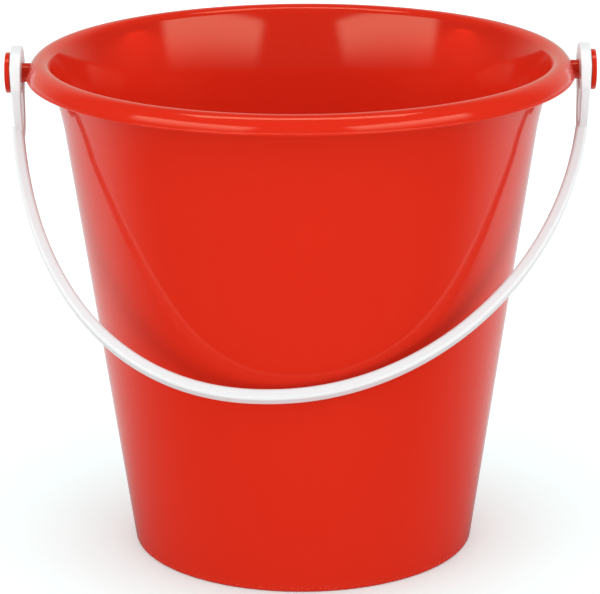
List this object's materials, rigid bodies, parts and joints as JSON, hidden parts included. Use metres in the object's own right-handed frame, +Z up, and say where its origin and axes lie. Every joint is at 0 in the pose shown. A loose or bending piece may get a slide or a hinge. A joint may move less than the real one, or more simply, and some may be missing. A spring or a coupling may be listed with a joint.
{
  "type": "sand bucket",
  "caption": "Tapered open bucket with a rolled rim, headed side pins and a hinged plastic bail that rests against its front.",
  "frame": {"origin": "centre of the foot, on the plane that the bucket stands on", "axes": "+Z up out of the mouth, X along the two pins, -Y towards the side that the resting bail lies against"},
  "size_m": [0.1954, 0.18, 0.1703],
  "materials": {
    "red_plastic": "glossy, injection moulded",
    "white_plastic": "satin to glossy, injection moulded"
  },
  "bodies": {
    "bucket": {"bucket_body": "red_plastic"},
    "bail": {"bail_handle": "white_plastic"}
  },
  "joints": [
    {"name": "bail_swing", "type": "hinge", "parent": "bucket", "child": "bail", "pos_m": [0, 0, 0.1615], "axis": [-1, 0, 0], "range_deg": [0, 281.6]}
  ]
}
